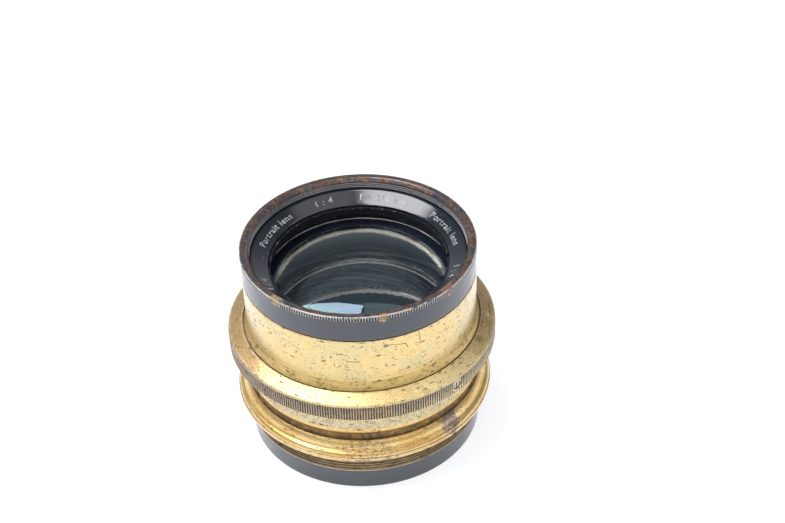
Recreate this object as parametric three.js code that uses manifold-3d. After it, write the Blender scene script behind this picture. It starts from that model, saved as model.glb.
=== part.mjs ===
// A barrel-mounted portrait lens of about 210 mm focal length and f/4: two cells of three
// glasses each, screwed into a brass barrel, with a twelve-blade iris diaphragm between them
// that is worked by a knurled ring round the outside.
//
// Millimetres, +Z up along the optical axis. The origin is the middle of the rear cell's end
// face, on which the lens stands, so +Z points towards the subject. The side that carries the
// ring's drive screw when the iris is open lies between +X and -Y.
import * as THREE from "three";
import { ConvexGeometry } from "three/addons/geometries/ConvexGeometry.js";
import { mergeVertices } from "three/addons/utils/BufferGeometryUtils.js";
import Module from "manifold-3d";

const wasm = await Module();
wasm.setup();

// ---- Driving dimensions ----

const GAP = 0.3; // between pieces that touch or screw together in the real lens
const EDGE_BREAK = 0.3; // bevel on a sharp turned corner
const GLASS_LEDGE = 0.4; // how far a glass's clear surface stands inside its ledge
const BORE_LENGTH_SPARE = 1; // a cutter runs this far past the surface that it opens

// Heights along the axis
const TOP = 71.3; // front rim
const BAND_BOTTOM = 62.05; // where the black front cell meets the brass
const BARREL_FOOT = 43.2; // top of the brass tube's foot
const JOURNAL_TOP = 42.0; // top of the bearing that the knurled ring turns on
const SHOULDER = 34.8; // ledge under the knurled ring
const GROOVE_TOP = 24.4;
const GROOVE_BOTTOM = 21.4;
const RIM_TOP = 16.7; // foot of the moulded shoulder
const RIM_BOTTOM = 15.4; // seat against the camera's mounting ring
const THREAD_BOTTOM = 8.0;
const REAR_BAND_TOP = 7.7; // top of the black rear cell

// Radii of the outside
const LIP_R = 38.0;
const TUBE_R = 37.9;
const FOOT_R = 38.9;
const LOWER_R = 39.2;
const GROOVE_R = 38.4;
const RIM_R = 42.7;
const THREAD_R = 39.6; // over the crests of the mounting thread
const REAR_BAND_R = 38.8;
const JOURNAL_R = 38.2;

// Radii of the inside
const CHAMBER_R = 36.2; // iris chamber, and the bore for the rear cell's thread
const NECK_R = 34.6; // bore through the neck, above the iris
const NECK_OUTER_R = 36.2;
const TUBE_BORE_R = 36.5;
const CHAMBER_TOP = 39.4;
const NECK_TOP = 47.0;
const COVE_TOP = 3.2; // the tube's foot starts to flare this far above its end
const COVE_MIDDLE = 1.2;
const COVE_MIDDLE_FLARE = 0.3;

// The moulded shoulder below the groove as [radius, height], two rounded steps from the groove's
// lip down to the rim
const SHOULDER_MOULDING = [
  [39.15, GROOVE_BOTTOM],
  [39.8, 20.9],
  [40.3, 20.0],
  [40.6, 18.95],
  [41.2, 18.4],
  [41.9, 18.0],
  [42.4, 17.4],
  [RIM_R, RIM_TOP],
];

// Knurled ring
const RING_R = 44.2;
const RING_BOTTOM = 35.06;
const RING_KNURL_TOP = 40.2;
const RING_CHAMFER = 0.5;
const RING_TOP = 42.46;
const RING_MOUTH_R = 39.3; // clears the foot of the brass tube
const RING_BORE_R = 38.55; // runs on the journal
const RING_STEP = 41.7; // where the bore widens to the mouth
const DRIVE_ANGLE = -49; // degrees round the axis, with the iris open
const DRIVE_HEIGHT = 37.6;
const DRIVE_SCREW_R = 1.3;
const DRIVE_SCREW_INNER_R = 34.3;
const DRIVE_SLOT_WIDTH = 0.6;
const DRIVE_SLOT_DEPTH = 0.8;
const DRIVE_SCREW_SUNK = 0.4; // below the knurl
const DRIVE_SCREW_SIDES = 12;
const DRIVE_PLAY = 4; // degrees that the barrel's slot runs past the screw at each end
const RING_TRAVEL = 76; // degrees from open to closed

// Iris
const BLADE_COUNT = 12;
const BLADE_TRAVEL = RING_TRAVEL / 2; // a chord between two points of a circle turns half as far
const BLADE_INNER_R = 26.3;
const BLADE_OUTER_R = 34.5;
const BLADE_PIN_CIRCLE_R = 32.6;
const BLADE_SPAN = 134; // degrees from pivot pin to drive pin
const BLADE_THICKNESS = 0.12;
const BLADE_RISE = 0.038; // mm of height for each degree, so that the blades lie over each other
const BLADE_BOTTOM = 30.1;
const BLADE_STEPS = 14;
const BLADE_END_SPAN = 5; // degrees past each pin that the crescent's rounded end takes up
const PIN_R = 0.6;
const PIN_SIDES = 6;
const PIN_SHORT = 0.2; // a pin stops this far short of its ring's far face
const PIN_HOLE_SIDES = 8;
const PIVOT_RING_BOTTOM = 28.3;
const PIVOT_RING_TOP = 29.8;
const ROTOR_BOTTOM = 35.9;
const ROTOR_TOP = 37.2;
const ROTOR_RIM_TOP = 39.1;
const ROTOR_RIM_R = 34.0;
const ROTOR_BORE_R = 25.9;
const IRIS_RETAINER_BOTTOM = 26.9;
const IRIS_RETAINER_BORE_R = 32.3;

// Facets round the axis
const OUTER_SIDES = 40;
const INNER_SIDES = 32;
const GLASS_SIDES = 24;
const LENS_STEPS = 4; // facets from the axis to the edge of a glass surface

// Each group of glasses: an outer cemented pair and an inner meniscus. Heights are from the
// outer pair's vertex towards the iris, and every surface is hollow towards the iris but the
// cemented one.
const FRONT_GROUP = {
  vertex: 66.2,
  towardsIris: -1,
  outerRadius: 75,
  cementRadius: 130,
  hollowRadius: 62,
  pairEdgeR: 29.5,
  pairClearR: 26.0,
  crownThickness: 12.6,
  flintThickness: 2.5,
  airSpace: 2.5,
  meniscusOuterRadius: 70,
  meniscusInnerRadius: 115,
  meniscusThickness: 4.2,
  meniscusEdgeR: 26.0,
  meniscusClearR: 24.8,
};
const REAR_GROUP = {
  vertex: 2.6,
  towardsIris: 1,
  outerRadius: 70,
  cementRadius: 122,
  hollowRadius: 58,
  pairEdgeR: 27.5,
  pairClearR: 24.3,
  crownThickness: 11.4,
  flintThickness: 2.3,
  airSpace: 2.2,
  meniscusOuterRadius: 66,
  meniscusInnerRadius: 108,
  meniscusThickness: 4.0,
  meniscusEdgeR: 24.4,
  meniscusClearR: 23.2,
};

// ---- Materials ----

function metal(color, roughness, metalness) {
  return new THREE.MeshStandardMaterial({ color, roughness, metalness });
}
const lacqueredBrass = metal(0xc9a55a, 0.35, 1.0);
const wornBrass = metal(0x9c8058, 0.45, 1.0);
const blackLacquer = metal(0x17181b, 0.35, 0.2);
const blackenedBrass = metal(0x1c1b1a, 0.6, 0.4);
const bladeSteel = metal(0x2a2c30, 0.45, 0.9);
const screwSteel = metal(0x6f7074, 0.4, 1.0);
const glass = new THREE.MeshStandardMaterial({
  color: 0xdfe8ee,
  roughness: 0.02,
  metalness: 0,
  transparent: true,
  opacity: 0.35,
});

// ---- Shape helpers ----

const radians = THREE.MathUtils.degToRad;

// A solid of revolution about Z. The outline is a closed loop of [radius, height], or runs from
// the axis to the axis, in either direction.
function turned(outline, sides) {
  const closed = outline[0][0] > 0;
  const loop = closed ? [...outline, outline[0]] : outline;
  const twiceArea = loop.reduce((sum, [r, z], i) => {
    const [nextR, nextZ] = loop[(i + 1) % loop.length];
    return sum + r * nextZ - nextR * z;
  }, 0);
  const ordered = twiceArea > 0 ? loop : [...loop].reverse();
  const points = ordered.map(([r, z]) => new THREE.Vector2(r, z));
  return new THREE.LatheGeometry(points, sides).rotateX(Math.PI / 2);
}

function toSolid(geometry) {
  const bare = geometry.clone();
  bare.deleteAttribute("normal");
  bare.deleteAttribute("uv");
  const merged = mergeVertices(bare, 1e-4);
  return new wasm.Manifold(
    new wasm.Mesh({
      numProp: 3,
      vertProperties: merged.attributes.position.array,
      triVerts: new Uint32Array(merged.index.array),
    }),
  );
}

function toGeometry(solid) {
  const mesh = solid.getMesh();
  const geometry = new THREE.BufferGeometry();
  geometry.setAttribute("position", new THREE.BufferAttribute(mesh.vertProperties, 3));
  geometry.setIndex(new THREE.BufferAttribute(mesh.triVerts, 1));
  return geometry;
}

// The geometry with each of the cutters taken out of it.
function cut(geometry, cutters) {
  const solid = cutters.reduce((left, cutter) => left.subtract(toSolid(cutter)), toSolid(geometry));
  return toGeometry(solid);
}

function join(geometry, additions) {
  const solid = additions.reduce((sum, piece) => sum.add(toSolid(piece)), toSolid(geometry));
  return toGeometry(solid);
}

// An upright post between two heights.
function post(x, y, radius, bottom, top, sides) {
  const geometry = new THREE.CylinderGeometry(radius, radius, top - bottom, sides);
  return geometry.rotateX(Math.PI / 2).translate(x, y, (bottom + top) / 2);
}

// A round bar lying along the radius at an angle, between two distances from the axis.
function radialBar(angle, height, radius, innerR, outerR, sides) {
  const geometry = new THREE.CylinderGeometry(radius, radius, outerR - innerR, sides);
  geometry.rotateZ(-Math.PI / 2).translate((innerR + outerR) / 2, 0, height);
  return geometry.rotateZ(radians(angle));
}

// A curved block between two radii, two angles and two heights.
function sector(innerR, outerR, fromAngle, toAngle, bottom, top) {
  const from = radians(fromAngle);
  const to = radians(toAngle);
  const shape = new THREE.Shape();
  shape.absarc(0, 0, outerR, from, to, false);
  shape.absarc(0, 0, innerR, to, from, true);
  const options = { depth: top - bottom, bevelEnabled: false, curveSegments: 12 };
  return new THREE.ExtrudeGeometry(shape, options).translate(0, 0, bottom);
}

// How far a sphere of this radius falls away from its vertex at a distance from the axis.
function sag(sphereRadius, r) {
  return sphereRadius - Math.sqrt(sphereRadius * sphereRadius - r * r);
}

// ---- Glasses ----

// The outline of a glass between two surfaces, each given as { vertex, radius, clearR } where
// radius is positive if the edge lies below the vertex, out to edgeR.
function lensOutline(upper, lower, edgeR) {
  function surface({ vertex, radius, clearR }) {
    const points = [];
    for (let i = 0; i <= LENS_STEPS; i++) {
      const r = (clearR * i) / LENS_STEPS;
      points.push([r, vertex - Math.sign(radius) * sag(Math.abs(radius), r)]);
    }
    if (clearR < edgeR) points.push([edgeR, points[LENS_STEPS][1]]);
    return points;
  }
  return [...surface(upper), ...surface(lower).reverse()];
}

// The three glasses of a group, with the heights of their seats.
function glassGroup(group) {
  const step = group.towardsIris;
  const cementVertex = group.vertex + step * group.crownThickness;
  const hollowVertex = cementVertex + step * group.flintThickness;
  const meniscusOuter = hollowVertex + step * group.airSpace;
  const meniscusInner = meniscusOuter + step * group.meniscusThickness;
  const upDown = (a, b) => (step < 0 ? [a, b] : [b, a]);
  const surface = (vertex, radius, clearR) => ({ vertex, radius: -step * radius, clearR });

  const outer = surface(group.vertex, group.outerRadius, group.pairEdgeR);
  const cementCrown = surface(cementVertex, -group.cementRadius, group.pairEdgeR);
  const cementFlint = { ...cementCrown, vertex: cementVertex + step * GAP };
  const hollow = surface(hollowVertex, group.hollowRadius, group.pairClearR);
  const meniscusFront = surface(meniscusOuter, group.meniscusOuterRadius, group.meniscusClearR);
  const meniscusBack = surface(meniscusInner, group.meniscusInnerRadius, group.meniscusClearR);

  const edgeHeight = ({ vertex, radius, clearR }) =>
    vertex - Math.sign(radius) * sag(Math.abs(radius), clearR);
  return {
    crown: turned(lensOutline(...upDown(outer, cementCrown), group.pairEdgeR), GLASS_SIDES),
    flint: turned(lensOutline(...upDown(cementFlint, hollow), group.pairEdgeR), GLASS_SIDES),
    meniscus: turned(
      lensOutline(...upDown(meniscusFront, meniscusBack), group.meniscusEdgeR),
      GLASS_SIDES,
    ),
    outerEdge: edgeHeight(outer),
    pairSeat: edgeHeight(hollow),
    meniscusSeat: edgeHeight(meniscusFront),
    meniscusBack: edgeHeight(meniscusBack),
  };
}

const front = glassGroup(FRONT_GROUP);
const rear = glassGroup(REAR_GROUP);

// ---- Front cell ----

const RECESS_R = 34.9; // thread for a filter or hood, and the name ring below it
const RIM_CHAMFER = 1.1; // leads into the recess's thread
const NAME_RING_TOP = 67.4;
const NAME_RING_OUTER_R = 34.6;
const NAME_RING_INNER_R = 29.2;
const NAME_RING_INNER_TOP = 64.6;
const NAME_RING_SEAT = 62.9;
const NAME_RING_LIP = 1.1; // width of the thin edge that covers the retaining ring
const NAME_RING_LIP_THICKNESS = 0.4;
const RETAINER_TOP = 63.8;
const RETAINER_CLEARANCE = 0.8; // from a glass's edge, so that the ring clears the curve inside it
const RETAINER_BORE_R = 28.5;
const INNER_RETAINER_BORE_R = 24.6;
const FRONT_SPIGOT_BOTTOM = 56.0;
const FRONT_BODY_R = 32.8;
const FRONT_SPIGOT_STEP = 1; // slope from the threaded spigot down to the body
const FRONT_CELL_BOTTOM = 39.8;

function frontCellMount() {
  const pairBore = FRONT_GROUP.pairEdgeR + GAP;
  const meniscusBore = FRONT_GROUP.meniscusEdgeR + GAP;
  const ledgeR = FRONT_GROUP.meniscusClearR + GLASS_LEDGE;
  return turned(
    [
      [LIP_R - EDGE_BREAK, TOP],
      [LIP_R, TOP - EDGE_BREAK],
      [LIP_R, BAND_BOTTOM],
      [NECK_OUTER_R, BAND_BOTTOM],
      [NECK_OUTER_R, FRONT_SPIGOT_BOTTOM],
      [FRONT_BODY_R, FRONT_SPIGOT_BOTTOM - FRONT_SPIGOT_STEP],
      [FRONT_BODY_R, FRONT_CELL_BOTTOM],
      [meniscusBore, FRONT_CELL_BOTTOM],
      [meniscusBore, front.meniscusSeat + GAP],
      [ledgeR, front.meniscusSeat + GAP],
      [ledgeR, front.pairSeat - GAP],
      [pairBore, front.pairSeat - GAP],
      [pairBore, NAME_RING_SEAT - GAP],
      [RECESS_R, NAME_RING_SEAT - GAP],
      [RECESS_R, TOP - RIM_CHAMFER],
      [RECESS_R + RIM_CHAMFER, TOP],
    ],
    OUTER_SIDES,
  );
}

function nameRing() {
  const lipUnderside = NAME_RING_INNER_TOP - NAME_RING_LIP_THICKNESS;
  return turned(
    [
      [NAME_RING_OUTER_R, NAME_RING_TOP],
      [NAME_RING_OUTER_R, NAME_RING_SEAT],
      [NAME_RING_INNER_R + NAME_RING_LIP, NAME_RING_SEAT],
      [NAME_RING_INNER_R + NAME_RING_LIP, lipUnderside],
      [NAME_RING_INNER_R, lipUnderside],
      [NAME_RING_INNER_R, NAME_RING_INNER_TOP],
    ],
    OUTER_SIDES,
  );
}

// A plain ring with square corners.
function plainRing(innerR, outerR, bottom, top) {
  return turned(
    [
      [innerR, bottom],
      [outerR, bottom],
      [outerR, top],
      [innerR, top],
    ],
    INNER_SIDES,
  );
}

// ---- Barrel ----

function upperBarrel() {
  return turned(
    [
      [TUBE_R, BAND_BOTTOM - GAP],
      [TUBE_R, BARREL_FOOT + COVE_TOP],
      [TUBE_R + COVE_MIDDLE_FLARE, BARREL_FOOT + COVE_MIDDLE],
      [FOOT_R, BARREL_FOOT],
      [FOOT_R, JOURNAL_TOP + GAP],
      [TUBE_BORE_R, JOURNAL_TOP + GAP],
      [TUBE_BORE_R, BAND_BOTTOM - GAP],
    ],
    OUTER_SIDES,
  );
}

function mountBarrel() {
  const body = turned(
    [
      [CHAMBER_R, THREAD_BOTTOM],
      [THREAD_R, THREAD_BOTTOM],
      [THREAD_R, RIM_BOTTOM],
      [RIM_R, RIM_BOTTOM],
      ...[...SHOULDER_MOULDING].reverse(),
      [GROOVE_R, GROOVE_BOTTOM],
      [GROOVE_R, GROOVE_TOP],
      [LOWER_R, GROOVE_TOP + EDGE_BREAK],
      [LOWER_R, SHOULDER],
      [JOURNAL_R, SHOULDER],
      [JOURNAL_R, JOURNAL_TOP],
      [NECK_OUTER_R, JOURNAL_TOP],
      [NECK_OUTER_R, NECK_TOP],
      [NECK_R, NECK_TOP],
      [NECK_R, CHAMBER_TOP],
      [CHAMBER_R, CHAMBER_TOP],
    ],
    OUTER_SIDES,
  );
  const halfHeight = DRIVE_SCREW_R + GAP;
  const driveSlot = sector(
    CHAMBER_R - BORE_LENGTH_SPARE,
    JOURNAL_R + BORE_LENGTH_SPARE,
    DRIVE_ANGLE - DRIVE_PLAY,
    DRIVE_ANGLE + RING_TRAVEL + DRIVE_PLAY,
    DRIVE_HEIGHT - halfHeight,
    DRIVE_HEIGHT + halfHeight,
  );
  return cut(body, [driveSlot]);
}

// ---- Knurled ring and its drive screw ----

function apertureRing() {
  const body = turned(
    [
      [RING_BORE_R, RING_BOTTOM],
      [RING_R, RING_BOTTOM],
      [RING_R, RING_KNURL_TOP],
      [RING_R - RING_CHAMFER, RING_KNURL_TOP + RING_CHAMFER],
      [RING_MOUTH_R, RING_TOP],
      [RING_MOUTH_R, RING_STEP],
      [RING_BORE_R, RING_STEP],
    ],
    OUTER_SIDES,
  );
  return cut(body, [driveScrewHole(RING_BORE_R, RING_R)]);
}

// The clearance hole for the drive screw through a wall between two radii.
function driveScrewHole(innerR, outerR) {
  return radialBar(
    DRIVE_ANGLE,
    DRIVE_HEIGHT,
    DRIVE_SCREW_R + GAP,
    innerR - BORE_LENGTH_SPARE,
    outerR + BORE_LENGTH_SPARE,
    DRIVE_SCREW_SIDES,
  );
}

function driveScrew() {
  const outerR = RING_R - DRIVE_SCREW_SUNK;
  const body = radialBar(
    DRIVE_ANGLE,
    DRIVE_HEIGHT,
    DRIVE_SCREW_R,
    DRIVE_SCREW_INNER_R,
    outerR,
    DRIVE_SCREW_SIDES,
  );
  const slot = new THREE.BoxGeometry(2 * DRIVE_SLOT_DEPTH, DRIVE_SLOT_WIDTH, 3 * DRIVE_SCREW_R);
  slot.translate(outerR, 0, DRIVE_HEIGHT).rotateZ(radians(DRIVE_ANGLE));
  return cut(body, [slot]);
}

// ---- Iris ----

// How far in from the outline's full width a blade is at each end, as [degrees past the pin,
// inner radius, outer radius], so that the ends are rounded about their pins.
const BLADE_END = [
  [3.6, 31.9, 33.3],
  [1.9, 30.4, 34.3],
  [-1.2, 28.2, BLADE_OUTER_R],
];

// One blade in the open position, its pivot on +X: a thin crescent that climbs as it goes round.
function blade() {
  const stations = [];
  BLADE_END.forEach(([past, inner, outer]) => stations.push([-past, inner, outer]));
  const first = BLADE_END_SPAN;
  const last = BLADE_SPAN - BLADE_END_SPAN;
  for (let i = 0; i <= BLADE_STEPS; i++) {
    const angle = first + ((last - first) * i) / BLADE_STEPS;
    stations.push([angle, BLADE_INNER_R, BLADE_OUTER_R]);
  }
  [...BLADE_END]
    .reverse()
    .forEach(([past, inner, outer]) => stations.push([BLADE_SPAN + past, inner, outer]));

  // Four corners at each station: inner and outer, lower and upper.
  const positions = [];
  stations.forEach(([angle, inner, outer]) => {
    const height = bladeHeight(angle);
    const a = radians(angle);
    for (const z of [height, height + BLADE_THICKNESS]) {
      positions.push(inner * Math.cos(a), inner * Math.sin(a), z);
      positions.push(outer * Math.cos(a), outer * Math.sin(a), z);
    }
  });
  const indices = [];
  const quad = (a, b, c, d) => indices.push(a, b, c, a, c, d);
  for (let i = 0; i < stations.length - 1; i++) {
    const at = 4 * i;
    const next = at + 4;
    quad(at, next, next + 1, at + 1); // underside
    quad(at + 2, at + 3, next + 3, next + 2); // top
    quad(at + 1, next + 1, next + 3, at + 3); // outer edge
    quad(at, at + 2, next + 2, next); // inner edge
  }
  const end = 4 * (stations.length - 1);
  quad(0, 1, 3, 2);
  quad(end, end + 2, end + 3, end + 1);
  const sheet = new THREE.BufferGeometry();
  sheet.setAttribute("position", new THREE.Float32BufferAttribute(positions, 3));
  sheet.setIndex(indices);

  const drive = radians(BLADE_SPAN);
  const x = BLADE_PIN_CIRCLE_R * Math.cos(drive);
  const y = BLADE_PIN_CIRCLE_R * Math.sin(drive);
  const middle = BLADE_THICKNESS / 2;
  const pivotTop = bladeHeight(0) + middle;
  const driveBottom = bladeHeight(BLADE_SPAN) + middle;
  return join(sheet, [
    post(BLADE_PIN_CIRCLE_R, 0, PIN_R, PIVOT_RING_BOTTOM + PIN_SHORT, pivotTop, PIN_SIDES),
    post(x, y, PIN_R, driveBottom, ROTOR_TOP - PIN_SHORT, PIN_SIDES),
  ]);
}

function bladeHeight(angle) {
  return BLADE_BOTTOM + BLADE_RISE * (angle + BLADE_END[0][0]);
}

function irisPivotRing() {
  const body = plainRing(BLADE_INNER_R, CHAMBER_R - GAP, PIVOT_RING_BOTTOM, PIVOT_RING_TOP);
  const holes = [];
  for (let i = 0; i < BLADE_COUNT; i++) {
    const a = (2 * Math.PI * i) / BLADE_COUNT;
    const x = BLADE_PIN_CIRCLE_R * Math.cos(a);
    const y = BLADE_PIN_CIRCLE_R * Math.sin(a);
    holes.push(
      post(
        x,
        y,
        PIN_R + GAP,
        PIVOT_RING_BOTTOM - BORE_LENGTH_SPARE,
        PIVOT_RING_TOP + BORE_LENGTH_SPARE,
        PIN_HOLE_SIDES,
      ),
    );
  }
  return cut(body, holes);
}

// Where a blade's drive pin lies in the rotor when the blade has turned, for the blade whose
// pivot is on +X. The rotor turns twice as far as the blade.
function drivePinInRotor(bladeTurn) {
  const turn = radians(bladeTurn);
  const drive = radians(BLADE_SPAN);
  const centre = new THREE.Vector2(0, 0);
  const pivot = new THREE.Vector2(BLADE_PIN_CIRCLE_R, 0);
  return new THREE.Vector2(BLADE_PIN_CIRCLE_R, 0)
    .rotateAround(centre, drive)
    .rotateAround(pivot, turn)
    .rotateAround(centre, -2 * turn);
}

// The slot that the pin runs in: the hull of the pin's positions with some clearance.
function rotorSlot(bottom, top) {
  const corners = [];
  const positions = 6;
  for (let i = 0; i <= positions; i++) {
    const at = drivePinInRotor((BLADE_TRAVEL * i) / positions);
    for (let k = 0; k < PIN_HOLE_SIDES; k++) {
      const a = (2 * Math.PI * k) / PIN_HOLE_SIDES;
      const x = at.x + (PIN_R + GAP) * Math.cos(a);
      const y = at.y + (PIN_R + GAP) * Math.sin(a);
      corners.push(new THREE.Vector3(x, y, bottom), new THREE.Vector3(x, y, top));
    }
  }
  return new ConvexGeometry(corners);
}

function irisRotor() {
  const outerR = CHAMBER_R - GAP;
  const body = turned(
    [
      [ROTOR_BORE_R, ROTOR_BOTTOM],
      [outerR, ROTOR_BOTTOM],
      [outerR, ROTOR_RIM_TOP],
      [ROTOR_RIM_R, ROTOR_RIM_TOP],
      [ROTOR_RIM_R, ROTOR_TOP],
      [ROTOR_BORE_R, ROTOR_TOP],
    ],
    INNER_SIDES,
  );
  const cutters = [];
  for (let i = 0; i < BLADE_COUNT; i++) {
    const slot = rotorSlot(ROTOR_BOTTOM - BORE_LENGTH_SPARE, ROTOR_TOP + BORE_LENGTH_SPARE);
    cutters.push(slot.rotateZ((2 * Math.PI * i) / BLADE_COUNT));
  }
  cutters.push(driveScrewHole(ROTOR_RIM_R, outerR));
  return cut(body, cutters);
}

// ---- Rear cell ----

const REAR_SPIGOT_R = CHAMBER_R - GAP;
const REAR_SPIGOT_TOP = 14.0;
const REAR_BODY_R = 31.6;
const REAR_CELL_TOP = 26.5;
const REAR_RECESS_R = 33.5;
const REAR_RECESS_TOP = 3.6;
const REAR_RECESS_CHAMFER = 1.0;
const REAR_EDGE_BREAK = 0.4;
const REAR_SPIGOT_STEP = 1; // slope from the threaded spigot up to the body
const REAR_RETAINER_R = 29.6;
const REAR_RETAINER_BORE_R = 26.4;
const REAR_RETAINER_BOTTOM = 4.0;
const REAR_RETAINER_SEAT_SPARE = 0.1; // the seat lies this far above the glass's edge
const REAR_INNER_RETAINER_BORE_R = 23.0;

function rearCellMount() {
  const pairBore = REAR_GROUP.pairEdgeR + GAP;
  const meniscusBore = REAR_GROUP.meniscusEdgeR + GAP;
  const ledgeR = REAR_GROUP.meniscusClearR + GLASS_LEDGE;
  const retainerSeat = rear.outerEdge + REAR_RETAINER_SEAT_SPARE;
  return turned(
    [
      [REAR_RECESS_R + REAR_RECESS_CHAMFER, 0],
      [REAR_BAND_R - REAR_EDGE_BREAK, 0],
      [REAR_BAND_R, REAR_EDGE_BREAK],
      [REAR_BAND_R, REAR_BAND_TOP],
      [REAR_SPIGOT_R, REAR_BAND_TOP],
      [REAR_SPIGOT_R, REAR_SPIGOT_TOP],
      [REAR_BODY_R, REAR_SPIGOT_TOP + REAR_SPIGOT_STEP],
      [REAR_BODY_R, REAR_CELL_TOP],
      [meniscusBore, REAR_CELL_TOP],
      [meniscusBore, rear.meniscusSeat - GAP],
      [ledgeR, rear.meniscusSeat - GAP],
      [ledgeR, rear.pairSeat + GAP],
      [pairBore, rear.pairSeat + GAP],
      [pairBore, retainerSeat],
      [REAR_RETAINER_R + GAP, retainerSeat],
      [REAR_RETAINER_R + GAP, REAR_RECESS_TOP],
      [REAR_RECESS_R, REAR_RECESS_TOP],
      [REAR_RECESS_R, REAR_RECESS_CHAMFER],
    ],
    OUTER_SIDES,
  );
}

// ---- Assembly ----

const lens = new THREE.Group();

function add(name, geometry, material) {
  const mesh = new THREE.Mesh(geometry, material);
  mesh.name = name;
  lens.add(mesh);
  return mesh;
}

add("mount_barrel", mountBarrel(), lacqueredBrass);
add("upper_barrel", upperBarrel(), lacqueredBrass);

add("front_cell_mount", frontCellMount(), blackLacquer);
add("name_ring", nameRing(), blackLacquer);
add(
  "front_retaining_ring",
  plainRing(
    RETAINER_BORE_R,
    FRONT_GROUP.pairEdgeR,
    front.outerEdge + RETAINER_CLEARANCE,
    RETAINER_TOP,
  ),
  blackenedBrass,
);
add("front_crown_element", front.crown, glass);
add("front_flint_element", front.flint, glass);
add("front_meniscus_element", front.meniscus, glass);
add(
  "front_inner_retaining_ring",
  plainRing(
    INNER_RETAINER_BORE_R,
    FRONT_GROUP.meniscusEdgeR,
    FRONT_CELL_BOTTOM,
    front.meniscusBack - GAP,
  ),
  blackenedBrass,
);

add("rear_cell_mount", rearCellMount(), blackLacquer);
add(
  "rear_retaining_ring",
  plainRing(
    REAR_RETAINER_BORE_R,
    REAR_RETAINER_R,
    REAR_RETAINER_BOTTOM,
    rear.outerEdge - RETAINER_CLEARANCE,
  ),
  blackenedBrass,
);
add("rear_crown_element", rear.crown, glass);
add("rear_flint_element", rear.flint, glass);
add("rear_meniscus_element", rear.meniscus, glass);
add(
  "rear_inner_retaining_ring",
  plainRing(
    REAR_INNER_RETAINER_BORE_R,
    REAR_GROUP.meniscusEdgeR,
    rear.meniscusBack + GAP,
    REAR_CELL_TOP,
  ),
  blackenedBrass,
);

add("aperture_ring", apertureRing(), wornBrass);
add("aperture_drive_screw", driveScrew(), screwSteel);
add("iris_rotor_ring", irisRotor(), blackenedBrass);
add("iris_pivot_ring", irisPivotRing(), blackenedBrass);
add(
  "iris_retaining_ring",
  plainRing(
    IRIS_RETAINER_BORE_R,
    CHAMBER_R - GAP,
    IRIS_RETAINER_BOTTOM,
    PIVOT_RING_BOTTOM - GAP,
  ),
  blackenedBrass,
);
for (let i = 0; i < BLADE_COUNT; i++) {
  const number = String(i + 1).padStart(2, "0");
  const mesh = add("iris_blade_" + number, blade(), bladeSteel);
  mesh.rotation.z = (2 * Math.PI * i) / BLADE_COUNT;
}

export default lens;
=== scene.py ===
"""The finished look of a brass barrel portrait lens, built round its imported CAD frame.

+Z runs up the optical axis and the camera is on the -Y side. Outlines are in millimetres and
become metres as a mesh is made. Angles round the axis are in degrees from +X.
"""
import dataclasses
import functools
import math

import bpy
import numpy as np
from mathutils import Matrix, Vector


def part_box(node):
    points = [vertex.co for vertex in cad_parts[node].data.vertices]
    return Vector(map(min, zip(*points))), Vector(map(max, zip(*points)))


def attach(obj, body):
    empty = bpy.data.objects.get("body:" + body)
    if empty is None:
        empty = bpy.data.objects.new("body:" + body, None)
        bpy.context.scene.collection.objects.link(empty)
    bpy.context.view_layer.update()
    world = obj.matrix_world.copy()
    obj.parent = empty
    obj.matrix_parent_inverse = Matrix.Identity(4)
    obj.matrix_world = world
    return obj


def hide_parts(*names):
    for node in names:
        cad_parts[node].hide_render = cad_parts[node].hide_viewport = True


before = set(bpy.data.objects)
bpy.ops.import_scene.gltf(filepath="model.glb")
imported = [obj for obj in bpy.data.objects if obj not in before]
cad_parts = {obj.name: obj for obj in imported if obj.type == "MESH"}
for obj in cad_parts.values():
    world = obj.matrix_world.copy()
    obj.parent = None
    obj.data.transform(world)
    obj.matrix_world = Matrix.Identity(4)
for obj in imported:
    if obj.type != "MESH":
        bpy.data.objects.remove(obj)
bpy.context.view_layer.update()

MM = 0.001
GAP = 0.3  # left in the frame between pieces that screw together


def extent(node):
    """A node's lowest height, highest height and outer radius, in millimetres."""
    low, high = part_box(node)
    return low.z / MM, high.z / MM, high.x / MM


CELL_FOOT, TOP, LIP_R = extent("front_cell_mount")
TUBE_FOOT, TUBE_TOP, FOOT_R = extent("upper_barrel")
RING_FOOT, RING_TOP, RING_R = extent("aperture_ring")
THREAD_FOOT, NECK_TOP, RIM_R = extent("mount_barrel")
REAR_FOOT, REAR_TOP, REAR_R = extent("rear_cell_mount")
NAME_SEAT, NAME_TOP, NAME_R = extent("name_ring")
BAND_FOOT = TUBE_TOP + GAP
REAR_BAND_TOP = THREAD_FOOT - GAP


# ---- Turned shapes ----

FINE = 4  # mesh columns in a knurl's tooth: two along its crest, two along its root
PITCH_STEPS = 10  # mesh levels in one turn of a thread
CREST_WEAR = 0.3
SEGMENTS = 256  # mesh columns round a piece of the outside
INNER_SEGMENTS = 192  # and round a glass or a ring inside
ROD_SEGMENTS = 32


@dataclasses.dataclass
class Point:
    """A point of a turned outline, with its wear value, for wear, grime and some painted shade, and what
    is cut there.
    """

    r: float
    z: float
    wear: float = 0.0  # 1 on an outer edge, -1 in an inner corner
    tooth: float = 0.0  # depth of the knurl
    thread: float = 0.0  # depth of the thread, below zero in a bore


def new_mesh(name, vertices, faces):
    mesh = bpy.data.meshes.new(name)
    mesh.from_pydata(vertices, [], faces)
    return mesh


ARC_STEPS = 8


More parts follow.
